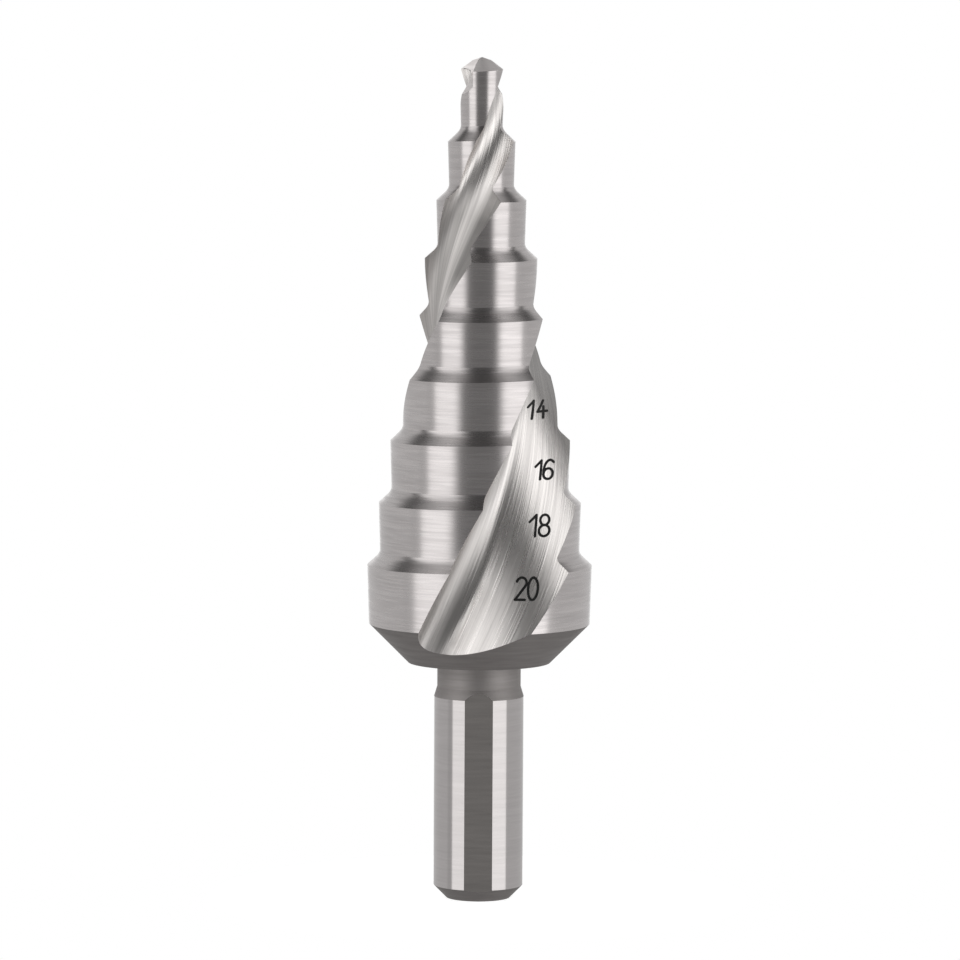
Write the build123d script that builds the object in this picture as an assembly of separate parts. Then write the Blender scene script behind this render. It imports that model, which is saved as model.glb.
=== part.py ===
from build123d import *
from math import asin, atan, atan2, cos, degrees, log, radians, sin, sqrt, tan
import os

# Step drill bit of high-speed steel, ground from one bar: a shank with three flats,
# a relieved neck, and a stepped cone with two spiral flutes and a split point.
# It stands on its shank, tip up. The shank's axis is Z and its end face is at height 0.

# Steps, from the pilot at the tip to the largest step at the back
overall_length = 75.0
pilot_diameter = 4.0
diameter_step = 2.0
step_count = 9
pilot_height = 6.25
small_step_height = 5.24
small_step_count = 4
large_step_height = 5.57
last_land_height = 5.35
land_taper = 0.03                # radius lost per millimetre from a cutting edge backwards
shoulder_angle = 48.0            # each step's conical shoulder, measured from the axis
foot_fillet = 1.3                # hollow where a shoulder meets the step above
step_relief = 0.16               # fall of a step's edge a quarter turn behind the cutting edge

# Back of the head, neck and shank
back_face_radius = 6.35
neck_diameter = 7.45
neck_length = 2.15               # its straight part
neck_shoulder_height = 0.9
shank_diameter = 8.0
shank_end_chamfer = 1.15
flat_count = 3
flat_depth = 0.2

# Spiral flutes, half a turn apart
helix_angle = 26.5
spiral_radius_tip = 1.7          # radius at the tip of the cone that the spiral follows
cutting_edge_heading = -105.7    # direction of a cutting edge at the top of the last step
web_radius_back = 7.55           # steel left between the flutes where the back chamfer starts
web_radius_tip = 0.75
wall_angle_front = 29.5          # lean of the flute's back wall from square to its cutting face
wall_angle_back = 18.0
hollow_share_front = 0.47        # reach of the flute's round hollow, as a share of the web's radius
hollow_share_back = 0.2
hollow_bend = 0.3                # how tightly the hollow bends in the corner between face and wall
undercut_back = 0.6              # slope at which the cutting face falls in behind its edge
lip_lead = 0.28                  # how far ahead of the axis the cutting face stands at the tip
closing_power = 3                # how late the flute starts to close up towards its back end
section_count = 20
cutter_margin = 1.0

# Split point
point_angle = 110.0
centre_angle = 146.0             # flatter centre of the point
centre_radius = 0.85
lip_relief = 4.0                 # degrees by which each flank falls behind its lip
gash_depth = 0.4                 # depth of each gash on the axis, below the tip
gash_slope = 56.0
gash_heading = 46.0              # direction in which a gash runs down, ahead of its lip
chisel_half_width = 0.12
gash_length = 10.0

half_lead = 40.0                 # how far ahead of its cutting edge each land's half begins
overlap = 0.5                    # how far one shape reaches into or past the next
hollow_overlap = 0.03            # how far a shoulder's hollow runs in under the step above

# Sizes that follow from those above; lists run from the pilot to the largest step
both_sides = (0, 180)
radii = [(pilot_diameter + diameter_step * step) / 2 for step in range(step_count)]
centre_drop = centre_radius / tan(radians(centre_angle / 2))
lip_drop = centre_drop + (radii[0] - centre_radius) / tan(radians(point_angle / 2))
edge_heights = [overall_length - lip_drop]
for step in range(1, step_count):
    if step == 1:
        step_height = pilot_height
    elif step <= 1 + small_step_count:
        step_height = small_step_height
    else:
        step_height = large_step_height
    edge_heights.append(edge_heights[-1] - step_height)

chamfer_top = edge_heights[-1] - last_land_height
chamfer_radius = radii[-1] - land_taper * last_land_height
back_face_height = chamfer_top - (chamfer_radius - back_face_radius)
shank_length = back_face_height - neck_length - neck_shoulder_height
spiral_slope = (radii[-1] - spiral_radius_tip) / (overall_length - edge_heights[-1])


def spiral_radius(height):
    """Radius of the cone that the spiral is wound on."""
    return radii[-1] + spiral_slope * (edge_heights[-1] - height)


def heading(height):
    """Direction of the first cutting edge: a spiral of constant helix angle on a cone."""
    turn = tan(radians(helix_angle)) / spiral_slope * log(radii[-1] / spiral_radius(height))
    return cutting_edge_heading + degrees(turn)


lip_heading = heading(edge_heights[0]) + degrees(asin(lip_lead / radii[0]))


def land(step, low, high):
    """A step's land: a round that narrows a little from its cutting edge backwards.

    Its seam lies where the first flute is cut out later.
    """
    low_radius = radii[step] + land_taper * (low - edge_heights[step])
    high_radius = radii[step] + land_taper * (high - edge_heights[step])
    round_land = Cone(low_radius, high_radius, high - low, align=(Align.CENTER, Align.CENTER, Align.MIN))
    return Pos(0, 0, low) * Rot(0, 0, heading(edge_heights[step]) + half_lead) * round_land


def leaning(turned, height, angle, direction):
    """A turned shape that leans about the line of one cutting edge, so that it falls behind it.

    The line passes through the axis at the given height. The shape is drawn about height 0.
    """
    along = (cos(radians(direction)), sin(radians(direction)), 0)
    hinge = Plane(origin=(0, 0, height), x_dir=along)
    return hinge * Rot(angle, 0, 0) * Rot(0, 0, 90) * turned


def shoulder_form(step, below):
    """Turned form of a step's shoulder: its cone and the hollow under the step above.

    It is drawn about the hollow's foot, and comes with the foot's height above the step's edge.
    """
    lean = radians(shoulder_angle)
    slope = tan(lean)
    upper_radius = radii[step - 1] - land_taper * (edge_heights[step - 1] - edge_heights[step])
    hollow_end = upper_radius - hollow_overlap
    hollow_start = hollow_end + foot_fillet * (1 - cos(lean))
    hollow_depth = foot_fillet * sin(lean)
    foot = (radii[step] - hollow_start) / slope + hollow_depth
    with BuildPart() as form:
        with BuildSketch(Plane.XZ):
            with BuildLine():
                Polyline(
                    (0, 0),
                    (0, -below),
                    (hollow_start + (below - hollow_depth) * slope, -below),
                    (hollow_start, -hollow_depth),
                )
                TangentArc((hollow_start, -hollow_depth), (hollow_end, 0), tangent=(-slope, 1))
                Line((hollow_end, 0), (0, 0))
            make_face()
        revolve(axis=Axis.Z)
    return form.part, foot


def point_form(depth):
    """Turned form of the point: a cone with a flatter centre, drawn about its tip."""
    base_radius = centre_radius + (depth - centre_drop) * tan(radians(point_angle / 2))
    with BuildPart() as form:
        with BuildSketch(Plane.XZ):
            with BuildLine():
                Polyline((0, 0), (0, -depth), (base_radius, -depth), (centre_radius, -centre_drop), close=True)
            make_face()
        revolve(axis=Axis.Z)
    return form.part


def make_pilot():
    """The pilot step, with one flank of the point leaning back behind each lip."""
    low = edge_heights[1] - overlap
    point = point_form(2 * (overall_length - low))
    solid = land(0, low, overall_length)
    for side in both_sides:
        solid = solid & leaning(point, overall_length, lip_relief, lip_heading + side)
    return solid


def make_step(step):
    """One larger step, from inside the step below it up to its shoulder's foot.

    Each land's half is cut by its own leaning form, and the halves meet inside the flutes.
    """
    if step == step_count - 1:
        low = chamfer_top
    else:
        low = edge_heights[step + 1] - overlap
    form, foot = shoulder_form(step, 2 * (edge_heights[step] - low))
    full_land = land(step, low, edge_heights[step] + foot)
    lean = degrees(atan(step_relief / (radii[step] + foot)))
    size = overall_length
    block = Box(size, size, size, align=(Align.CENTER, Align.MAX, Align.CENTER))
    halves = []
    for side in both_sides:
        direction = heading(edge_heights[step]) + side
        half_block = Pos(0, 0, edge_heights[step]) * Rot(0, 0, direction + half_lead) * block
        half = full_land & half_block & leaning(form, edge_heights[step] + foot, lean, direction)
        halves.append(half)
    return halves[0] + halves[1]


def make_shank():
    """Shank, neck and the chamfered back of the head, turned in one."""
    shank_radius = shank_diameter / 2
    neck_radius = neck_diameter / 2
    with BuildPart() as turned:
        with BuildSketch(Plane.XZ):
            with BuildLine():
                Polyline(
                    (0, 0),
                    (shank_radius - shank_end_chamfer, 0),
                    (shank_radius, shank_end_chamfer),
                    (shank_radius, shank_length),
                    (neck_radius, shank_length + neck_shoulder_height),
                    (neck_radius, back_face_height),
                    (back_face_radius, back_face_height),
                    (chamfer_radius, chamfer_top),
                    (0, chamfer_top),
                    close=True,
                )
            make_face()
        revolve(axis=Axis.Z)
    return turned.part


def shank_flats():
    """Cutting blocks for the flats that the chuck's jaws grip, the first facing the front."""
    flat_distance = shank_diameter / 2 - flat_depth
    height = shank_length + neck_shoulder_height
    block = Box(shank_diameter, shank_diameter, height, align=(Align.CENTER, Align.MAX, Align.MIN))
    return [Rot(0, 0, 360 / flat_count * turn) * Pos(0, -flat_distance, 0) * block for turn in range(flat_count)]


def flute_section(height):
    """Section of a flute: a hooked cutting face that runs smoothly into a long back wall.

    The cutting face's edge lies along local X, and the flute opens towards local Y.
    """
    web_slope = (web_radius_back - web_radius_tip) / (overall_length - chamfer_top)
    web = web_radius_tip + web_slope * (overall_length - height)
    depth = web / web_radius_back
    closed = depth**closing_power
    wall_lean = radians(wall_angle_front + (wall_angle_back - wall_angle_front) * closed)
    hollow_share = hollow_share_front + (hollow_share_back - hollow_share_front) * closed
    reach = web * hollow_share
    face_bend = reach * hollow_bend
    wall_bend = face_bend * (1 - 2 * depth)
    lead = lip_lead * web_radius_tip / web
    corner = web / cos(wall_lean)
    undercut = undercut_back * depth
    outside = spiral_radius(height) + cutter_margin
    start = (outside, lead + undercut * cutter_margin)
    bend_start = corner + face_bend
    wall_length = sqrt(outside**2 - web**2)
    wall_end = (
        web * cos(wall_lean) - wall_length * sin(wall_lean),
        web * sin(wall_lean) + wall_length * cos(wall_lean),
    )
    middle = atan2(wall_end[1], wall_end[0]) / 2
    hollow_end = (corner - reach * sin(wall_lean), reach * cos(wall_lean))
    with BuildSketch(Plane.XY) as section:
        with BuildLine():
            Bezier(
                start,
                (bend_start, lead - undercut * (spiral_radius(height) - bend_start)),
                (corner - wall_bend * sin(wall_lean), wall_bend * cos(wall_lean)),
                hollow_end,
            )
            Line(hollow_end, wall_end)
            ThreePointArc(wall_end, (outside * cos(middle), outside * sin(middle)), start)
        make_face()
    return Pos(0, 0, height) * Rot(0, 0, heading(height)) * section.sketch


def make_flute():
    """Cutting shape of the first flute, lofted through sections that turn evenly."""
    low = back_face_height - overlap
    spacing = (overall_length + overlap - low) / (section_count - 1)
    return loft([flute_section(low + spacing * number) for number in range(section_count)])


def make_gash():
    """Cutting wedge that splits the first lip's side of the point."""
    lip_frame = Plane.XY.offset(overall_length - gash_depth).rotated((0, 0, lip_heading))
    block = Box(gash_length, gash_length, gash_length, align=(Align.CENTER, Align.CENTER, Align.MIN))
    floor_side = Rot(0, 0, gash_heading) * Rot(0, gash_slope, 0) * block
    lip_side = Pos(0, chisel_half_width, 0) * Box(
        2 * gash_length, 2 * gash_length, 2 * gash_length, align=(Align.CENTER, Align.MIN, Align.CENTER)
    )
    return lip_frame * (floor_side & lip_side)


body = make_shank() + [make_step(step) for step in reversed(range(1, step_count))] + make_pilot()
body = body - shank_flats()
for cutter in (make_flute(), make_gash()):
    body = body - [Rot(0, 0, side) * cutter for side in both_sides]

os.makedirs("parts", exist_ok=True)
export_step(body, "parts/step_drill_bit.step")
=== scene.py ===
from math import asin, cos, pi, radians, sin, tan

import bmesh
import bpy
import numpy as np
from mathutils import Matrix


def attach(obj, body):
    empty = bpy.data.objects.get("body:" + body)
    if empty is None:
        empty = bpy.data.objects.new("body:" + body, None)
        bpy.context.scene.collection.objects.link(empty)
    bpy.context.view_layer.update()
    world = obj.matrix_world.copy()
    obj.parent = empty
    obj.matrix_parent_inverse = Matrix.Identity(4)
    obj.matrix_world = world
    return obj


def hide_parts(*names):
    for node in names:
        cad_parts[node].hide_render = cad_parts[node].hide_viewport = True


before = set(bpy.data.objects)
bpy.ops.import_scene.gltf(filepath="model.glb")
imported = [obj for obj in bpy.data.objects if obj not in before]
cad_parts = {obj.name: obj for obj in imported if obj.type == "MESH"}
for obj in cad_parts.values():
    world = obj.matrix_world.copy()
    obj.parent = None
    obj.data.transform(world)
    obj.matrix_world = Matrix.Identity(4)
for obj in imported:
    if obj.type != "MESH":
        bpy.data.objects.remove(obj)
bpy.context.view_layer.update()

# The drill bit: one bar of high-speed steel with nine ground steps, two spiral flutes, a
# split point, a relieved neck and a shank with three flats. Sizes are in millimetres.
# Its surface is one grid of rings from the point down to the shank's end.
millimetre = 0.001
overall_length = 75.0
step_radii = np.arange(2.0, 11.0)
last_step = len(step_radii) - 1
step_heights = np.array([0, 6.25, 5.24, 5.24, 5.24, 5.24, 5.57, 5.57, 5.57])
last_land_length = 5.35
land_taper = 0.03
shoulder_angle = radians(48)
edge_relief = 0.16
fillet_radius = 1.3
fillet_inset = 0.03
hollow_rise = 0.277
back_face_radius = 6.35
point_half_angle = radians(55)
centre_half_angle = radians(73)
centre_radius = 0.85
lip_relief = radians(4)
lip_lead = 0.28
helix_angle = radians(26.5)
first_heading = radians(-105.7)
spiral_tip_radius = 1.7
web_tip = 0.75
web_back = 7.55
wall_lean = 29.5
wall_lean_lost = 11.5
hollow_reach = 0.47
hollow_reach_lost = 0.27

centre_drop = centre_radius / tan(centre_half_angle)
lip_drop = centre_drop + (step_radii[0] - centre_radius) / tan(point_half_angle)
edge_heights = overall_length - lip_drop - np.cumsum(step_heights)
chamfer_top = edge_heights[-1] - last_land_length
chamfer_radius = step_radii[-1] - land_taper * last_land_length
back_face_height = chamfer_top - (chamfer_radius - back_face_radius)
spiral_slope = (step_radii[-1] - spiral_tip_radius) / (overall_length - edge_heights[-1])
web_growth = (web_back - web_tip) / (overall_length - chamfer_top)


def turned(x, y, angle):
    """A place turned about the bit's axis by an angle."""
    return x * np.cos(angle) - y * np.sin(angle), x * np.sin(angle) + y * np.cos(angle)


def cone_radius(height):
    """Radius of the cone that carries the flutes' spiral. It passes through the last edge."""
    return step_radii[-1] + spiral_slope * (edge_heights[-1] - height)


def heading(height):
    """Direction of the first cutting edge: the spiral of constant helix angle on a cone.

    It turns by the tangent of the helix angle times the logarithm of the cone's radii.
    """
    turn = tan(helix_angle) / spiral_slope * np.log(step_radii[-1] / cone_radius(height))
    return first_heading + turn


def web_radius(height):
    """Radius of the steel left between the flutes: it grows evenly from the tip backwards."""
    return web_tip + web_growth * (overall_length - height)


def flute_form(height):
    """The flute's measures at one height: how far its wall leans, how far its hollow reaches
    along the wall, the radius it is drawn out to, and where its wall starts and ends.

    The lean, and the reach as a share of the web, fall with the cube of the web. Distances
    along the wall are counted from its foot, where it is nearest to the axis.
    """
    web = web_radius(height)
    closed = (web / web_back) ** 3
    lean = np.radians(wall_lean - wall_lean_lost * closed)
    reach = web * (hollow_reach - hollow_reach_lost * closed)
    outside = cone_radius(height) + 1
    return lean, reach, outside, reach - web * np.tan(lean), np.sqrt(outside**2 - web**2)


def wall_point(distance, height):
    """A point of the flute's back wall: out from the axis by the web, then along the wall."""
    return turned(web_radius(height), distance, flute_form(height)[0])


def flute_point(share, height):
    """A point of the flute's section at one height, in the cutting edge's own frame.

    Shares 0 to 1 run down the cutting face and round the hollow on a cubic curve of four
    control points, and shares 1 to 2 run out along the straight back wall.
    """
    web = web_radius(height)
    depth = web / web_back
    lean, reach, outside, wall_start, wall_end = flute_form(height)
    face_bend = 0.3 * reach
    wall_bend = face_bend * (1 - 2 * depth)
    lead = lip_lead * web_tip / web
    corner = web / np.cos(lean)
    undercut = 0.6 * depth
    across = np.minimum(share, 1)
    weights = [(1 - across) ** 3, 3 * across * (1 - across) ** 2, 3 * across**2 * (1 - across), across**3]
    xs = [outside, corner + face_bend, corner - wall_bend * np.sin(lean), corner - reach * np.sin(lean)]
    ys = [
        lead + undercut,
        lead - undercut * (outside - 1 - corner - face_bend),
        wall_bend * np.cos(lean),
        reach * np.cos(lean),
    ]
    x = sum(weight * value for weight, value in zip(weights, xs))
    y = sum(weight * value for weight, value in zip(weights, ys))
    along = np.maximum(share - 1, 0) * (wall_end - wall_start)
    return x - along * np.sin(lean), y + along * np.cos(lean)


def flute_share(radius, height, side):
    """Where the flute's section crosses a radius: by halving, on its face or on its wall.

    The wall's foot, where the section comes nearest to the axis, parts the two.
    """
    wall_start, wall_end = flute_form(height)[3:]
    near = 1 - wall_start / (wall_end - wall_start)
    far = np.zeros_like(near) if side == "face" else np.full_like(near, 2.0)
    for _ in range(40):
        middle = (near + far) / 2
        beyond = np.hypot(*flute_point(middle, height)) > radius
        near = np.where(beyond, near, middle)
        far = np.where(beyond, middle, far)
    return near


def leaned_height(profile, radius, angle, lean):
    """Height of a turned profile that leans about the cutting edge's line.

    Solved by repeating: the profile's height at the leaned-back radius, plus the part that
    the lean adds at this distance from the line.
    """
    beside = radius * np.sin(angle)
    ahead = radius * np.cos(angle)
    height = profile(radius)
    for _ in range(6):
        leaned = beside * cos(lean) + height * sin(lean)
        height = (profile(np.hypot(ahead, leaned)) + beside * sin(lean)) / cos(lean)
    return height


def point_profile(radius):
    """The point's cone with its flatter centre: height below the tip at a radius."""
    outer = -centre_drop - (radius - centre_radius) / tan(point_half_angle)
    return np.where(radius < centre_radius, -radius / tan(centre_half_angle), outer)


lip_heading = heading(edge_heights[0]) + asin(lip_lead / step_radii[0])


def shoulder_height(step, radius, angle):
    """Height of a step's shoulder: a cone with a round hollow at its foot.

    It leans back from its cutting edge by the edge's relief. For the first step it is the
    lower one of the point's two flanks.
    """
    if step == 0:
        past_lip = angle - lip_heading
        flanks = [leaned_height(point_profile, radius, past_lip + side, lip_relief) for side in (0, pi)]
        return overall_length + np.minimum(*flanks)
    slope = tan(shoulder_angle)
    step_above = step_radii[step - 1] - land_taper * (edge_heights[step - 1] - edge_heights[step])
    hollow_end = step_above - fillet_inset
    hollow_start = hollow_end + fillet_radius * (1 - cos(shoulder_angle))
    hollow_depth = fillet_radius * sin(shoulder_angle)
    foot = (step_radii[step] - hollow_start) / slope + hollow_depth

    def profile(at):
        sagitta = np.clip(hollow_end + fillet_radius - at, -fillet_radius, fillet_radius)
        hollow = -np.sqrt(fillet_radius**2 - sagitta**2)
        return np.where(at < hollow_start, hollow, -hollow_depth - (at - hollow_start) / slope)

    lean = np.arctan(edge_relief / (step_radii[step] + foot))
    past_edge = angle - heading(edge_heights[step])
    return edge_heights[step] + foot + leaned_height(profile, radius, past_edge, lean)


def land_radius(step, height):
    """Radius of a step's land, which narrows a little from its cutting edge backwards."""
    return step_radii[step] + land_taper * (height - edge_heights[step])


def meeting_height(step, above, angle):
    """Height at which a step's shoulder meets its own land, or the land above, by repeating.

    The shoulder's height at the land's radius gives the land's next radius.
    """
    first_guess = edge_heights[step] + 1.1 if above < step else edge_heights[step]
    height = np.full_like(angle, first_guess)
    for _ in range(12):
        height = shoulder_height(step, land_radius(above, height), angle)
    return height


def eased(radius, other):
    """A radius that is never the smaller of the two, with the corner where they meet eased."""
    softness = 0.02
    return radius + softness * np.log1p(np.exp(-np.abs(radius - other) / softness))


def outer_surface(kind, step, share, angle):
    """Radius and height of the ground outside, at a share of the way down one band of it.

    A land runs out without a corner into the round hollow of the shoulder below it, whose
    deepest line lies by the hollow's rise above the land's end.
    """
    if kind == "point":
        radius = land_radius(0, meeting_height(0, 0, angle)) * share
        return radius, shoulder_height(0, radius, angle)
    if kind == "shoulder":
        top = land_radius(step - 1, meeting_height(step, step - 1, angle))
        bottom = land_radius(step, meeting_height(step, step, angle))
        radius = top + (bottom - top) * share
        height = shoulder_height(step, radius, angle)
        return eased(radius, np.minimum(radius, land_radius(step - 1, height))), height
    if kind == "chamfer":
        drop = (chamfer_radius - back_face_radius) * share
        return chamfer_radius - drop, chamfer_top - drop
    top = meeting_height(step, step, angle)
    if step == last_step:
        height = top + (chamfer_top - top) * share
        return land_radius(step, height), height
    bottom = meeting_height(step + 1, step, angle)
    height = top + (bottom - top) * share
    below_foot = np.clip(height - bottom - hollow_rise, -1, 0)
    hollow_centre = land_radius(step, bottom) + (fillet_radius - fillet_inset)
    hollow = hollow_centre - np.sqrt(fillet_radius**2 - below_foot**2)
    return eased(land_radius(step, height), hollow), height


def flute_crossing(kind, step, share, side):
    """Where a band's rows meet the flute ahead of them or the one behind, by repeating.

    The flute's angle at the row's radius and height gives the row's next radius and height.
    """
    turned_back_painted_shade = 0 if side == "face" else -pi
    angle = np.full_like(share, heading(edge_heights[step]) + turned_back_painted_shade)
    for _ in range(14):
        radius, height = outer_surface(kind, step, share, angle)
        place = flute_share(radius, height, side)
        x, y = flute_point(place, height)
        angle = heading(height) + np.arctan2(y, x) + turned_back_painted_shade
    return angle, radius, height, place


# The bands from the point down to the back's chamfer, each with its rows as shares of the way
# down it. The flutes run out on the chamfer, at the exit, where it is as wide as the web.
# The rows close up towards the exit, and the first lands have the most rows.
centre_share = centre_radius / step_radii[0]
exit_height = (web_tip + web_growth * overall_length - chamfer_radius + chamfer_top) / (1 + web_growth)
exit_share = (chamfer_top - exit_height) / (chamfer_radius - back_face_radius)
point_rows = np.r_[np.linspace(0.03, centre_share, 8), np.linspace(centre_share, 1, 12)[1:]]
shoulder_rows = np.r_[np.linspace(0, 0.55, 8), np.linspace(0.55, 1, 4)[1:]]
closing_rows = exit_share * (1 - (1 - np.linspace(0, 1, 14)) ** 2)
chamfer_rows = np.r_[closing_rows, np.linspace(exit_share, 1, 5)[1:]]
bands = [("point", 0, point_rows)]
for step in range(last_step + 1):
    if step > 0:
        bands.append(("shoulder", step, shoulder_rows))
    bands.append(("land", step, np.linspace(0, 1, max(15, 29 - 3 * step))))
bands.append(("chamfer", last_step, chamfer_rows))


def spaced(start, end, share):
    """For each row the values between its start and its end, at shares of the way along it."""
    return start[:, None] + (end - start)[:, None] * share


# A row runs down one flute's face and out along its wall, then over the land behind it. The
# other half of the row is the same half turned by half a turn.
land_columns = 60
face_columns = 42
wall_columns = 28
flute_columns = face_columns + wall_columns
half_columns = flute_columns + land_columns
face_part = np.linspace(0, 1, face_columns + 1)
wall_part = np.linspace(0, 1, wall_columns + 1)[1:]
flute_part = np.linspace(0, 1, flute_columns + 1)
land_part = np.linspace(0, 1, land_columns + 1)[1:-1]
rings = []
ring_finish = []
flute_places = []
for kind, step, shares in bands:
    if rings:
        shares = shares[1:]
    edge_angle, edge_radius, edge_height, edge_place = flute_crossing(kind, step, shares, "face")
    heel_angle, heel_radius, heel_height, heel_place = flute_crossing(kind, step, shares, "wall")
    corner_place = np.maximum(edge_place, 1)
    face_places = spaced(edge_place, corner_place, face_part)
    wall_places = spaced(corner_place, heel_place, wall_part)
    heights = spaced(edge_height, heel_height, flute_part)
    x, y = flute_point(np.hstack([face_places, wall_places]), heights)
    held = np.minimum(1, spaced(edge_radius, heel_radius, flute_part) / np.hypot(x, y))
    x, y = x * held, y * held
    flute = np.stack([*turned(x, y, heading(heights)), heights], axis=2)
    angles = spaced(heel_angle, edge_angle, land_part)
    radii, land_heights = outer_surface(kind, step, shares[:, None] + 0 * angles, angles)
    land = np.stack([*turned(radii, 0, angles + pi), land_heights], axis=2)
    half = np.concatenate([flute, land], axis=1)
    rings.append(np.concatenate([half, half * [-1, -1, 1]], axis=1))
    ring_finish += [kind] * len(shares)

    # Places across the flute are distances from the wall's foot, less than nothing on the face.
    steps_across = np.hypot(np.diff(x, axis=1), np.diff(y, axis=1))
    distance = np.pad(np.cumsum(steps_across, axis=1), ((0, 0), (1, 0)))
    wall_start, wall_end = flute_form(heights[:, face_columns])[3:]
    corner_distance = wall_start + (corner_place - 1) * (wall_end - wall_start)
    distance += (corner_distance - distance[:, face_columns])[:, None]
    flute_places.append(np.tile(np.pad(distance, ((0, 0), (0, land_columns - 1))), 2))

# Neck and shank follow in rings of as many corners, with the three flats between them. Each
# flat ends in an arch at its top and bottom, where the bar thins to the flat's distance.
neck_radius = 3.725
neck_bottom = 19.025
shank_radius = 4.0
shank_top = 18.125
end_chamfer = 1.15
flat_distance = 3.8
flat_columns = 10
round_columns = 30
shank_rows = 12
flat_half_angle = np.arccos(flat_distance / shank_radius)
arch_radii = flat_distance / np.cos(np.linspace(0, flat_half_angle, 7))
arch_shares = (arch_radii - neck_radius) / (shank_radius - neck_radius)
arch_heights = neck_bottom - arch_shares * (neck_bottom - shank_top)
side_radii = np.full(shank_rows, shank_radius)
side_heights = np.linspace(shank_top, end_chamfer, shank_rows + 1)[1:]
end_arch_radii = arch_radii[::-1]
end_arch_heights = end_chamfer - (shank_radius - end_arch_radii)
end_radius = shank_radius - end_chamfer
shank_radii = np.r_[neck_radius, neck_radius, arch_radii, side_radii, end_arch_radii[1:], end_radius]
shank_heights = np.r_[back_face_height, neck_bottom, arch_heights, side_heights, end_arch_heights[1:], 0]
shank_radii = shank_radii[:, None]
shank_heights = shank_heights[:, None]
half_widths = np.arccos(np.minimum(flat_distance / shank_radii, 1))
flat_angles = half_widths * np.linspace(-1, 1, flat_columns + 1)[:-1]
round_widths = 2 * pi / 3 - 2 * half_widths
round_angles = half_widths + round_widths * np.linspace(0, 1, round_columns + 1)[:-1]
third = np.hstack([flat_angles, round_angles])
third_radii = shank_radii + 0 * third
third_radii[:, :flat_columns] = np.minimum(flat_distance / np.cos(flat_angles), shank_radii)

# The flutes have run out above the neck, so here each one's columns end in a single corner.
spread = np.r_[
    np.zeros(flute_columns, int),
    np.arange(land_columns),
    np.full(flute_columns, land_columns),
    np.arange(land_columns, 2 * land_columns),
]
ring_angles = np.hstack([third + 2 * pi / 3 * number for number in range(3)])[:, spread] - pi / 2
ring_radii = np.tile(third_radii, 3)[:, spread]
rings.append(np.stack([*turned(ring_radii, 0, ring_angles), shank_heights + 0 * ring_angles], axis=2))
flute_places.append(np.zeros(ring_angles.shape))
ring_finish += ["neck"] * (2 + len(arch_radii)) + ["shank"] * shank_rows + ["chamfer"] * len(end_arch_radii)

grid = np.concatenate(rings)
ring_count, column_count = grid.shape[:2]
corners = np.concatenate([grid.reshape(-1, 3), [[0, 0, overall_length], [0, 0, 0]]])
upper = np.arange(ring_count - 1)[:, None] * column_count + np.arange(column_count)
beside = np.roll(upper, -1, axis=1)
quads = np.stack([upper, upper + column_count, beside + column_count, beside], axis=2).reshape(-1, 4)
first = np.arange(column_count)
last = first + (ring_count - 1) * column_count
tip_fan = np.stack([np.full(column_count, len(corners) - 2), first, np.roll(first, -1)], axis=1)
end_fan = np.stack([np.full(column_count, len(corners) - 1), np.roll(last, -1), last], axis=1)
bit_mesh = bpy.data.meshes.new("step_drill_bit_ground")
bit_faces = quads.tolist() + tip_fan.tolist() + end_fan.tolist()
bit_mesh.from_pydata((corners * millimetre).tolist(), [], bit_faces)

# Every face has one of eight finishes. A row of faces has the finish of the ring below it,
# but for the flutes above the neck and the flats below it.
finish_names = ["land", "shoulder", "flute", "point", "chamfer", "neck", "shank", "flat"]
row_finish = np.array([finish_names.index(kind) for kind in ring_finish[1:]])
quad_finish = np.repeat(row_finish[:, None], column_count, axis=1)
neck_row = ring_count - len(shank_radii) - 1
is_flute = np.arange(column_count) % half_columns < flute_columns
is_flat = (spread % (flat_columns + round_columns) < flat_columns) & ~is_flute
quad_finish[:neck_row, is_flute] = finish_names.index("flute")
quad_finish[neck_row + 3 :, is_flat] = finish_names.index("flat")
tip_finish = np.full(column_count, finish_names.index("point"))
end_finish = np.full(column_count, finish_names.index("chamfer"))
all_finishes = np.concatenate([quad_finish.ravel(), tip_finish, end_finish])
bit_mesh.polygons.foreach_set("material_index", all_finishes.astype(np.int32))
places_across = np.concatenate(flute_places)
along_flute = np.append(grid[:, :, 2], [0, 0])
across_flute = np.append(places_across, [0, 0])

# The wheel leaves the back wall a little crowned, with a trough along its foot. The attribute's
# third value is that height in millimetres, for the bump alone. The wall's turn changes evenly
# from the trough outwards and is nothing at the crown's middle. Before the trough it is eight
# degrees the other way, and a hyperbola joins the two. The crown is its change in a millimetre.
# The height is nearly zero all along the bit at one distance from the foot.


def gentle_ramp(value, start, end):
    """From 0 to 1 between two values, with its two corners rounded over a millimetre or two."""
    return (np.logaddexp(0, value - start) - np.logaddexp(0, value - end)) / (end - start)


usual_web = 6.5
before_trough = radians(-8)
zero_at = 1.5
web_scale = web_radius(along_flute) / usual_web
towards_tip = 1.2 * gentle_ramp(along_flute, 44, 69.6)
towards_exit = gentle_ramp(-along_flute, -35, -29)
crown = np.radians(6 - 31 * towards_tip - 0.5 * towards_exit)
crown_middle = 3.3 - 3.0 * towards_tip + towards_exit + gentle_ramp(along_flute, 65, 75)
trough = 0.84 - 0.55 * web_scale - 1.8 * gentle_ramp(along_flute, 25, 40)
trough += 0.96 * gentle_ramp(along_flute, 44, 50) - 1.0 * gentle_ramp(-along_flute, -28, -24)
trough_width = (0.4 - 0.15 * towards_exit) * web_scale
beyond_trough = crown * (crown_middle - trough)
beyond = across_flute - trough
curve = np.sqrt(beyond**2 + trough_width**2)
joined = beyond**2 + beyond * curve + trough_width**2 * np.arcsinh(beyond / trough_width)
crown_height = -crown / 4 * joined
crown_height += beyond_trough * beyond - (beyond_trough - before_trough) * (beyond - curve) / 2
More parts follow.
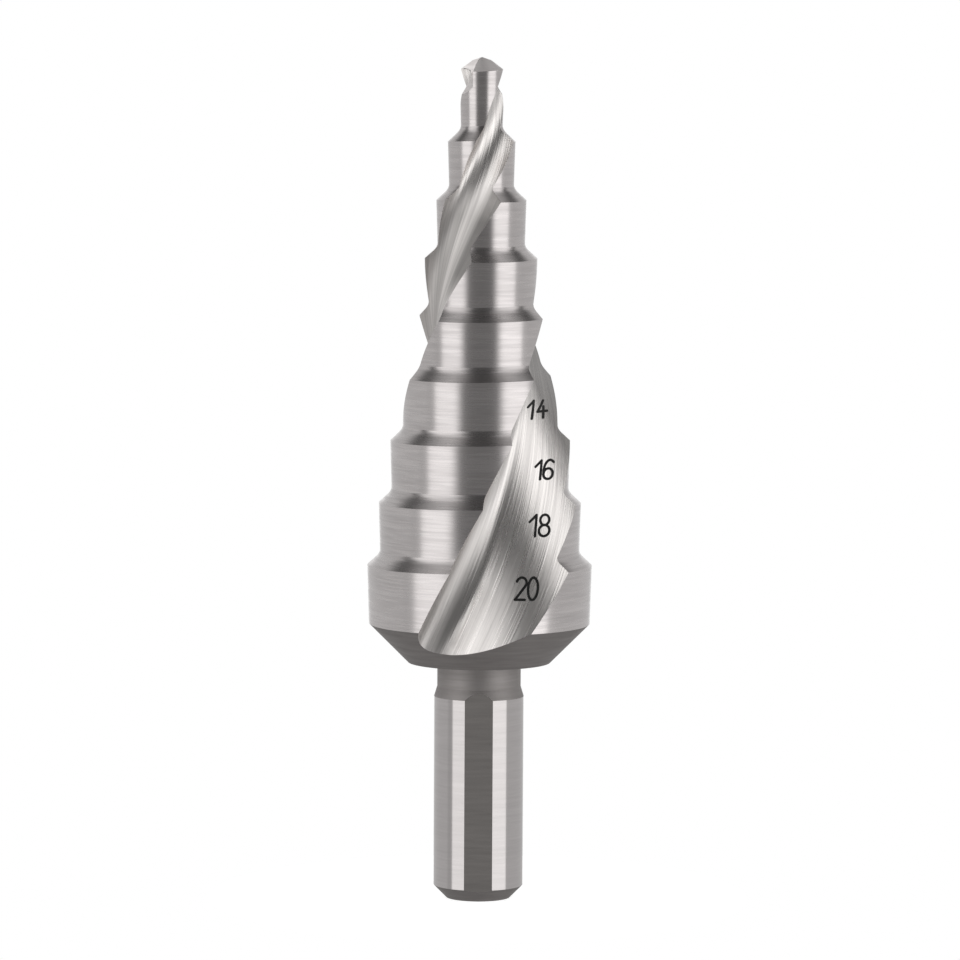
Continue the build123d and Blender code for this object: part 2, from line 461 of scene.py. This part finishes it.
crown_height -= crown / 2 * (zero_at - trough) * (2 * crown_middle - trough - zero_at)


def give_attribute(name, kind, values):
    """Writes a value or a vector for each corner of the bit into a named attribute."""
    attribute = bit_mesh.attributes.new(name, kind, "POINT")
    attribute.data.foreach_set("vector" if kind == "FLOAT_VECTOR" else "value", values.ravel())


flute_position = np.stack([across_flute, along_flute, crown_height], axis=1)
give_attribute("flute_position", "FLOAT_VECTOR", flute_position)

# The cutting face's colour is darkened towards the back, and so is a patch of the wall: this is
# painted shade, standing for darker reflections. On the middle run both are darkened as painted
# shade, and there and towards the back the streaks are shallower.


def fade(value, start, end):
    """From 0 to 1 between two values, and level outside them."""
    return np.clip((value - start) / (end - start), 0, 1)


face_distance = -across_flute / web_scale
towards_back = fade(along_flute, 38, 30)
far_side = fade(face_distance, 1.2, 1.7)
middle_run = fade(along_flute, 47, 50) * fade(along_flute, 64, 61)
face_shade_amount = np.maximum(towards_back * (1 - 0.5 * far_side), 0.5 * middle_run)
face_painted_shade = fade(face_distance, 0.1, 0.5) * face_shade_amount
wall_shade_patch = fade(along_flute + 1.5 * across_flute, 46.5, 48.5) * fade(along_flute, 54, 49)
outer_run = fade(along_flute, 53, 56) * fade(along_flute, 62.5, 60.5)
wall_painted_shade = np.maximum(wall_shade_patch, fade(across_flute, 0.9, 2.0) * outer_run)
# Painted shade: the flute's colour is halved where these masks are full.
give_attribute("flute_painted_shading", "FLOAT", 1 - 0.5 * np.maximum(face_painted_shade, wall_painted_shade))
worn_flat = np.maximum(middle_run, np.maximum(0.6 * far_side * towards_back, 0.1 * towards_exit))
give_attribute("streak_depth", "FLOAT", 1 - 0.7 * worn_flat)

# The direction square to the streaks: across the flute, less the part that runs along them.
down_rings, round_rings = np.gradient(grid, axis=(0, 1))
down_places, round_places = np.gradient(places_across, axis=(0, 1))
round_places = np.where(np.abs(round_places) < 1e-6, 1e-6, round_places)
streaks = down_rings - round_rings * (down_places / round_places)[..., None]
streaks /= np.maximum(np.linalg.norm(streaks, axis=2, keepdims=True), 1e-9)
ways = round_rings - streaks * np.sum(round_rings * streaks, axis=2, keepdims=True)
ways /= np.maximum(np.linalg.norm(ways, axis=2, keepdims=True), 1e-9)
give_attribute("across_streaks", "FLOAT_VECTOR", np.append(ways, np.zeros(6)))

bit = bpy.data.objects.new("step_drill_bit_ground", bit_mesh)
bpy.context.scene.collection.objects.link(bit)
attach(bit, "root")
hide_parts("step_drill_bit")

# Corners that fall together, such as the flutes' columns below their exit, are merged.
shell = bmesh.new()
shell.from_mesh(bit_mesh)
bmesh.ops.remove_doubles(shell, verts=shell.verts, dist=2e-7)
bmesh.ops.dissolve_degenerate(shell, edges=shell.edges, dist=1e-8)
shell.to_mesh(bit_mesh)
shell.free()

# The point is split: beside each lip a wedge is ground away, down to a sloping floor.
# The wedge's plan is a rectangle ahead of the lip, and its floor falls at 56 degrees.
gash_slope = tan(radians(56))
gash_heading = radians(46)
gash_start = 0.12
gash_size = 4
gash_depth = 0.4
plan = np.array([[gash_start, 0], [gash_size, 0], [gash_size, gash_size], [gash_start, gash_size]])
floor_drop = gash_slope * (plan[:, 0] * cos(gash_heading) + plan[:, 1] * sin(gash_heading))
wedge_low = np.column_stack([plan, overall_length - gash_depth - floor_drop])
wedge_high = np.column_stack([plan, np.full(4, overall_length + 2)])
wedge = np.concatenate([wedge_low, wedge_high])
wedge_sides = [[0, 1, 5, 4], [1, 2, 6, 5], [2, 3, 7, 6], [3, 0, 4, 7], [3, 2, 1, 0], [4, 5, 6, 7]]
wedges = []
for side in (0, pi):
    wedge_x, wedge_y = turned(wedge[:, 0], wedge[:, 1], lip_heading + side)
    wedges.append(np.column_stack([wedge_x, wedge_y, wedge[:, 2]]))
wheel_mesh = bpy.data.meshes.new("gash_wedges")
wheel_sides = wedge_sides + [[corner + 8 for corner in side] for side in wedge_sides]
wheel_mesh.from_pydata((np.concatenate(wedges) * millimetre).tolist(), [], wheel_sides)
wheel = bpy.data.objects.new("gash_wedges", wheel_mesh)
bpy.context.scene.collection.objects.link(wheel)
gashes = bit.modifiers.new("gashes", "BOOLEAN")
gashes.operation = "DIFFERENCE"
gashes.solver = "EXACT"
gashes.object = wheel

# Each surface is ground in its own direction. The lands, shoulders and shank carry fine
# lines round the bar, and the flutes carry streaks along the spiral.


def add_node(tree, kind, values=(), **settings):
    """A node with its settings made and its inputs given as values or fed by other nodes."""
    node = tree.nodes.new(kind)
    for name, setting in settings.items():
        setattr(node, name, setting)
    for socket, value in dict(values).items():
        if isinstance(value, bpy.types.NodeSocket):
            tree.links.new(value, node.inputs[socket])
        else:
            node.inputs[socket].default_value = value
    return node


def add_math(tree, operation, *values):
    """What a Math node makes of one value or two."""
    return add_node(tree, "ShaderNodeMath", enumerate(values), operation=operation).outputs["Value"]


def mixed_colour(tree, factor, first_colour, second_colour):
    """The first colour where the factor is 0, the second one where it is 1."""
    colours = {"Factor": factor, 6: first_colour, 7: second_colour}
    return add_node(tree, "ShaderNodeMix", colours, data_type="RGBA").outputs[2]


lines = bpy.data.node_groups.new("grinding_lines", "ShaderNodeTree")
for name, kind, value in (
    ("Position", "NodeSocketVector", (0, 0, 0)),
    ("Lines per mm", "NodeSocketFloat", 4),
    ("Shortness", "NodeSocketFloat", 1),
    ("Dark", "NodeSocketColor", (0.5, 0.5, 0.5, 1)),
    ("Light", "NodeSocketColor", (0.6, 0.6, 0.6, 1)),
    ("Smooth", "NodeSocketFloat", 0.14),
    ("Rough", "NodeSocketFloat", 0.24),
):
    socket = lines.interface.new_socket(name, in_out="INPUT", socket_type=kind)
    socket.default_value = value
for name, kind in (
    ("Color", "NodeSocketColor"),
    ("Roughness", "NodeSocketFloat"),
    ("Height", "NodeSocketFloat"),
):
    lines.interface.new_socket(name, in_out="OUTPUT", socket_type=kind)
given = lines.nodes.new("NodeGroupInput")
made = lines.nodes.new("NodeGroupOutput")
given_parts = add_node(lines, "ShaderNodeSeparateXYZ", {"Vector": given.outputs["Position"]})


def line_noise(stretch, pitch, detail):
    """Noise drawn out along the grinding: slow in X and Y, quick in Z."""
    quickness = add_math(lines, "MULTIPLY", given.outputs["Lines per mm"], pitch)
    slowness = add_math(lines, "MULTIPLY", given.outputs["Shortness"], stretch)
    stretched = {
        axis: add_math(lines, "MULTIPLY", given_parts.outputs[axis], rate)
        for axis, rate in (("X", slowness), ("Y", slowness), ("Z", quickness))
    }
    place = add_node(lines, "ShaderNodeCombineXYZ", stretched).outputs["Vector"]
    noise = add_node(lines, "ShaderNodeTexNoise", {"Vector": place, "Scale": 1, "Detail": detail})
    return noise.outputs["Fac"]


fine = line_noise(0.3, 1.0, 3)
broad = line_noise(0.08, 0.3, 2)
both = add_node(lines, "ShaderNodeMix", {"Factor": 0.45, "A": fine, "B": broad}).outputs["Result"]
contrast = {"Value": both, "From Min": 0.34, "From Max": 0.66}
tone = add_node(lines, "ShaderNodeMapRange", contrast).outputs["Result"]
colour = mixed_colour(lines, tone, given.outputs["Dark"], given.outputs["Light"])
roughness = add_node(
    lines,
    "ShaderNodeMapRange",
    {"Value": tone, "To Min": given.outputs["Rough"], "To Max": given.outputs["Smooth"]},
)
lines.links.new(colour, made.inputs["Color"])
lines.links.new(roughness.outputs["Result"], made.inputs["Roughness"])
lines.links.new(both, made.inputs["Height"])


def corner_values(tree, attribute):
    """What a named attribute gives at each place of the surface."""
    return add_node(tree, "ShaderNodeAttribute", attribute_name=attribute).outputs


def ground_finish(name, round_lines, lines_per_mm, dark, light, smooth, rough, bump, drawn):
    """A steel finish whose lines run round the bar, or along the flute's spiral.

    Its reflections are drawn out across the lines. In the flute the wall's crown bends them
    too, painted shade darkens the steel's colour in places, and where its streaks are shallow it
    is rougher.
    """
    material = bpy.data.materials.new(name)
    material.use_nodes = True
    tree = material.node_tree
    shader = tree.nodes["Principled BSDF"]
    shader.inputs["Metallic"].default_value = 1
    shader.inputs["Anisotropic"].default_value = drawn
    if round_lines:
        source = add_node(tree, "ShaderNodeTexCoord").outputs["Object"]
        in_millimetres = {"Vector": source, "Scale": (1000, 1000, 1000)}
        position = add_node(tree, "ShaderNodeMapping", in_millimetres).outputs["Vector"]
        across_lines = add_node(tree, "ShaderNodeCombineXYZ", {"Z": 1}).outputs["Vector"]
    else:
        source = corner_values(tree, "flute_position")["Vector"]
        parts = add_node(tree, "ShaderNodeSeparateXYZ", {"Vector": source}).outputs
        along_and_across = {"X": parts["Y"], "Z": parts["X"]}
        position = add_node(tree, "ShaderNodeCombineXYZ", along_and_across).outputs["Vector"]
        across_lines = corner_values(tree, "across_streaks")["Vector"]
    finish = add_node(
        tree,
        "ShaderNodeGroup",
        {
            "Position": position,
            "Lines per mm": lines_per_mm,
            "Shortness": 1 if round_lines else 0.4,
            "Dark": (*dark, 1),
            "Light": (*light, 1),
            "Smooth": smooth,
            "Rough": rough,
        },
        node_tree=lines,
    ).outputs
    base_colour = finish["Color"]
    surface_roughness = finish["Roughness"]
    relief = add_node(tree, "ShaderNodeBump", {"Height": finish["Height"], "Strength": 1, "Distance": bump})
    if not round_lines:
        crown_bump = {"Height": parts["Z"], "Strength": 1, "Distance": millimetre}
        crowned = add_node(tree, "ShaderNodeBump", crown_bump)
        tree.links.new(crowned.outputs["Normal"], relief.inputs["Normal"])
        depth = corner_values(tree, "streak_depth")["Fac"]
        tree.links.new(add_math(tree, "MULTIPLY", finish["Height"], depth), relief.inputs["Height"])
        shallow = {"Value": depth, "From Min": 1, "From Max": 0.3, "To Max": 0.25}
        added = add_node(tree, "ShaderNodeMapRange", shallow).outputs["Result"]
        surface_roughness = add_math(tree, "ADD", finish["Roughness"], added)
        # Painted shade: the base colour falls towards black where this attribute is below 1.
        shading_share = corner_values(tree, "flute_painted_shading")["Fac"]
        base_colour = mixed_colour(tree, shading_share, (0, 0, 0, 1), finish["Color"])
    tree.links.new(base_colour, shader.inputs["Base Color"])
    tree.links.new(surface_roughness, shader.inputs["Roughness"])
    tree.links.new(relief.outputs["Normal"], shader.inputs["Normal"])
    tree.links.new(across_lines, shader.inputs["Tangent"])
    return material


steel_finishes = [
    # name, whether its lines run round the bar, lines per millimetre, dark and light colour,
    # least and greatest roughness, depth of the lines in metres, how far reflections are drawn
    ("ground_land", True, 6, (0.5, 0.473, 0.468), (0.62, 0.587, 0.581), 0.24, 0.32, 8e-6, 0.8),
    ("ground_shoulder", True, 7, (0.46, 0.435, 0.43), (0.6, 0.567, 0.561), 0.24, 0.32, 1e-5, 0.6),
    ("ground_flute", False, 6, (0.57, 0.547, 0.532), (0.82, 0.787, 0.765), 0.22, 0.32, 4.5e-5, 0.7),
    ("ground_point", True, 3, (0.72, 0.69, 0.68), (0.92, 0.88, 0.87), 0.5, 0.65, 5e-6, 0.1),
    # The turned chamfers and neck really are rougher than the ground steel. Their much darker colours are
    # painted shade, standing for the dark they mirror and, on the neck, for the chamfer's shadow.
    ("turned_back_painted_shade", True, 4, (0.196, 0.184, 0.179), (0.225, 0.211, 0.205), 0.62, 0.72, 4e-6, 0.2),
    ("turned_neck_painted_shade", True, 4, (0.312, 0.294, 0.286), (0.336, 0.316, 0.309), 0.55, 0.65, 2e-6, 0.1),
    ("ground_shank", True, 5, (0.48, 0.457, 0.452), (0.53, 0.504, 0.499), 0.1, 0.14, 1e-6, 0.5),
    ("ground_flat", True, 3, (0.51, 0.479, 0.46), (0.62, 0.582, 0.558), 0.2, 0.26, 1.5e-6, 0.5),
]
for steel_finish in steel_finishes:
    bit_mesh.materials.append(ground_finish(*steel_finish))
wheel_mesh.materials.append(bit_mesh.materials[finish_names.index("point")])
gashes.material_mode = "TRANSFER"
split = bpy.data.meshes.new_from_object(bit.evaluated_get(bpy.context.evaluated_depsgraph_get()))
split.name = "step_drill_bit_ground"
bit.modifiers.clear()
bit.data = split
bpy.data.objects.remove(wheel)
split.shade_smooth()
split.set_sharp_from_angle(angle=radians(15))

# The sizes 14, 16, 18 and 20 are marked in black on the flute's back wall, beside their steps.
# Each digit is a few thin strokes with round ends, which lie on the wall.


def arc(centre, radii, start, end):
    """Points on an ellipse between two angles in degrees, in shares of the digit's height."""
    angles = np.radians(np.linspace(start, end, 40))
    return np.column_stack([centre[0] + radii[0] * np.cos(angles), centre[1] + radii[1] * np.sin(angles)])


def straight(*ends):
    """Points along a straight line between two ends."""
    share = np.linspace(0, 1, 12)[:, None]
    return np.array(ends[0]) * (1 - share) + np.array(ends[1]) * share


digits = {
    "0": [arc((0.25, 0.5), (0.22, 0.5), 90, 450)],
    "1": [straight((0, 0.68), (0.3, 1)), straight((0.3, 1), (0.3, 0))],
    "2": [
        arc((0.26, 0.76), (0.22, 0.24), 165, -32),
        straight((0.445, 0.633), (0.02, 0)),
        straight((0.02, 0), (0.46, 0)),
    ],
    "4": [
        straight((0.32, 0.95), (0.02, 0.36)),
        straight((0.02, 0.36), (0.54, 0.36)),
        straight((0.34, 0.62), (0.34, 0)),
    ],
    "6": [arc((0.28, 0.28), (0.24, 0.28), 90, 450), arc((0.36, 0.42), (0.32, 0.58), 52, 190)],
    "8": [arc((0.27, 0.76), (0.21, 0.24), 90, 450), arc((0.27, 0.26), (0.24, 0.26), 90, 450)],
}


def stroke_strip(path, half_width):
    """Both sides of a stroke: its path moved out by half a width, drawn in round at its ends."""
    run = np.gradient(path, axis=0)
    run /= np.hypot(run[:, 0], run[:, 1])[:, None]
    widths = np.full(len(path), half_width)
    if np.hypot(*(path[0] - path[-1])) > 1e-6:
        bend = np.cos(np.linspace(0, pi / 2, 6)[:-1])
        before = path[0] - run[0] * (half_width * bend)[:, None]
        after = path[-1] + run[-1] * (half_width * bend[::-1])[:, None]
        narrow = half_width * np.sqrt(1 - bend**2) + 1e-4
        path = np.concatenate([before, path, after])
        run = np.concatenate([np.tile(run[0], (5, 1)), run, np.tile(run[-1], (5, 1))])
        widths = np.concatenate([narrow, widths, narrow[::-1]])
    outward = np.column_stack([-run[:, 1], run[:, 0]]) * widths[:, None]
    return np.stack([path + outward, path - outward], axis=1)


size_marks = [
    # digits, second digit's place, height, distance along the wall, height above the floor,
    # wall distance gained by one millimetre to the right and lost by one upwards
    ("14", 0.55, 1.6, 1.6, 43.9, 1.8, -0.03),
    ("16", 0.41, 1.68, 2.87, 38.66, 1.24, 0.13),
    ("18", 0.43, 1.9, 3.43, 33.89, 1.06, 0.26),
    ("20", 0.54, 1.97, 4.15, 28.51, 0.99, 0.38),
]
half_stroke = 0.115
digit_width = 0.5
digit_slant = 0.07
upward_share = 0.96
raised = 0.012
mark_corners = []
mark_faces = []
for text, second, tall, wall_distance, wall_height, wider, falling in size_marks:
    middle = (second + digit_width) / 2
    for number, digit in enumerate(text):
        for path in digits[digit]:
            placed = (path + [number * second - middle, -0.5]) * tall
            placed[:, 0] += digit_slant * placed[:, 1]
            strip = stroke_strip(placed, half_stroke)
            distances = wall_distance + wider * strip[..., 0] - falling * strip[..., 1]
            heights = wall_height + upward_share * strip[..., 1]
            x, y = wall_point(distances, heights)
            lean = flute_form(heights)[0]
            x, y = turned(x + raised * np.cos(lean), y + raised * np.sin(lean), heading(heights))
            start = sum(len(block) for block in mark_corners)
            mark_corners.append(np.stack([x, y, heights], axis=-1).reshape(-1, 3))
            row = start + 2 * np.arange(len(strip) - 1)
            mark_faces.append(np.column_stack([row, row + 1, row + 3, row + 2]))
marks_mesh = bpy.data.meshes.new("size_marks")
mark_places = (np.concatenate(mark_corners) * millimetre).tolist()
marks_mesh.from_pydata(mark_places, [], np.concatenate(mark_faces).tolist())
marks = bpy.data.objects.new("size_marks", marks_mesh)
bpy.context.scene.collection.objects.link(marks)
thickness = marks.modifiers.new("thickness", "SOLIDIFY")
thickness.thickness = 3e-5
thickness.offset = -1
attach(marks, "root")
ink = bpy.data.materials.new("black_mark")
ink.use_nodes = True
ink_shader = ink.node_tree.nodes["Principled BSDF"]
ink_place = add_node(ink.node_tree, "ShaderNodeTexCoord").outputs["Object"]
ink_noise = add_node(ink.node_tree, "ShaderNodeTexNoise", {"Vector": ink_place, "Scale": 9000, "Detail": 2})
ink_black = (0.004, 0.004, 0.004, 1)
ink_grey = (0.02, 0.02, 0.02, 1)
ink_tone = mixed_colour(ink.node_tree, ink_noise.outputs["Fac"], ink_black, ink_grey)
ink.node_tree.links.new(ink_tone, ink_shader.inputs["Base Color"])
ink_shader.inputs["Roughness"].default_value = 0.6
ink_shader.inputs["Specular IOR Level"].default_value = 0.2
marks_mesh.materials.append(ink)

# The table under the bit: a round white board, which keeps the bit's soft shadow and looks
# white to the camera. The steel doesn't mirror it.
board_radius = 0.024
board_corners = 96
board_angles = np.linspace(0, 2 * pi, board_corners + 1)[:-1]
board_x = board_radius * np.cos(board_angles)
board_y = board_radius * np.sin(board_angles)
board_rim = np.column_stack([board_x, board_y, np.zeros(board_corners)])
board_mesh = bpy.data.meshes.new("board")
board_mesh.from_pydata(board_rim.tolist(), [], [list(range(board_corners))])
board = bpy.data.objects.new("board", board_mesh)
bpy.context.scene.collection.objects.link(board)
paper = bpy.data.materials.new("white_paper")
paper.use_nodes = True
paper_shader = paper.node_tree.nodes["Principled BSDF"]
paper_shader.inputs["Base Color"].default_value = (0.5, 0.5, 0.5, 1)
paper_shader.inputs["Roughness"].default_value = 0.9
paper_shader.inputs["Specular IOR Level"].default_value = 0
paper_shader.inputs["Emission Color"].default_value = (1, 1, 1, 1)
board_mesh.materials.append(paper)
paper_rays = add_node(paper.node_tree, "ShaderNodeLightPath").outputs
paper_glow = add_math(paper.node_tree, "MULTIPLY", paper_rays["Is Camera Ray"], 0.85)
paper.node_tree.links.new(paper_glow, paper_shader.inputs["Emission Strength"])
paper_clear = add_node(paper.node_tree, "ShaderNodeBsdfTransparent")
paper_seen = add_node(
    paper.node_tree,
    "ShaderNodeMixShader",
    {0: paper_rays["Is Glossy Ray"], 1: paper_shader.outputs["BSDF"], 2: paper_clear.outputs["BSDF"]},
)
paper_end = paper.node_tree.nodes["Material Output"]
paper.node_tree.links.new(paper_seen.outputs["Shader"], paper_end.inputs["Surface"])

# The studio round the bit: a white backdrop behind, grey sides, a tall soft box on each side
# of a dark camera position, and a dark ceiling. The soft boxes reach further round above the
# grey sides. The camera itself sees plain white.
world = bpy.data.worlds.new("studio")
bpy.context.scene.world = world
world.use_nodes = True
sky = world.node_tree
sky_way = add_node(sky, "ShaderNodeTexCoord").outputs["Generated"]
way = add_node(sky, "ShaderNodeSeparateXYZ", {"Vector": sky_way}).outputs
azimuth = add_math(sky, "ARCTAN2", way["X"], add_math(sky, "MULTIPLY", way["Y"], -1))
beside_camera = add_math(sky, "ABSOLUTE", azimuth)
elevation = add_math(sky, "ARCSINE", way["Z"])


def ramp(value, start, end):
    """A mask that goes smoothly from 0 to 1 between two angles, given in degrees."""
    mask = add_node(
        sky,
        "ShaderNodeMapRange",
        {"Value": value, "From Min": radians(start), "From Max": radians(end)},
        interpolation_type="SMOOTHSTEP",
    )
    return mask.outputs["Result"]


def change(level, mask, to):
    """The light level where a mask takes it over to another level."""
    return add_node(sky, "ShaderNodeMix", {"Factor": mask, "A": level, "B": to}).outputs["Result"]


to_left = add_math(sky, "LESS_THAN", azimuth, 0)
right_end = change(1.0, ramp(beside_camera, 74, 78), 0.0)
left_end = change(1.0, ramp(beside_camera, 69, 73), 0.0)
left_dim = change(ramp(beside_camera, 70, 76), ramp(beside_camera, 82, 90), 0.0)
sides = change(0.66, add_math(sky, "MULTIPLY", left_dim, to_left), 0.56)
boxes = change(right_end, to_left, left_end)
band = change(sides, boxes, change(1.5, to_left, 1.38))
band = change(0.23, ramp(beside_camera, 24, 40), band)
band = change(band, ramp(beside_camera, 160, 168), 1.0)
low_side = change(ramp(beside_camera, 24, 44), to_left, ramp(beside_camera, 16, 44))
low_side = change(low_side, ramp(beside_camera, 80, 98), 0.0)
high_side = change(ramp(beside_camera, 34, 56), ramp(beside_camera, 100, 130), 0.0)
low_sky = change(0.09, low_side, 1.4)
high_sky = change(0.07, high_side, 1.0)
high_sky = change(high_sky, ramp(elevation, 68, 78), 0.07)
upper_sky = change(low_sky, ramp(elevation, 42, 54), high_sky)
behind = change(0.0, ramp(beside_camera, 98, 112), radians(22))
lowered = add_math(sky, "SUBTRACT", elevation, behind)
level = change(band, ramp(lowered, 8, 20), upper_sky)
sky_rays = add_node(sky, "ShaderNodeLightPath")
seen = change(level, sky_rays.outputs["Is Camera Ray"], 1.0)
sky.links.new(seen, sky.nodes["Background"].inputs["Color"])

# The camera: a long lens a little above the bit, pointing down by about five degrees.
camera_data = bpy.data.cameras.new("camera")
camera_data.lens = 218.25
camera_data.sensor_width = 36
camera_data.clip_start = 0.01
camera_data.clip_end = 50
camera = bpy.data.objects.new("camera", camera_data)
bpy.context.scene.collection.objects.link(camera)
camera_distance = 0.5179
aim_height = 0.03745
camera_pitch = radians(5.17)
camera_roll = 0.0051
camera_height = aim_height + camera_distance * sin(camera_pitch)
camera.location = (0, -camera_distance * cos(camera_pitch), camera_height)
camera_turn = Matrix.Rotation(radians(90) - camera_pitch, 3, "X") @ Matrix.Rotation(camera_roll, 3, "Z")
camera.rotation_euler = camera_turn.to_euler()
bpy.context.scene.camera = camera
bpy.context.scene.view_settings.view_transform = "Standard"
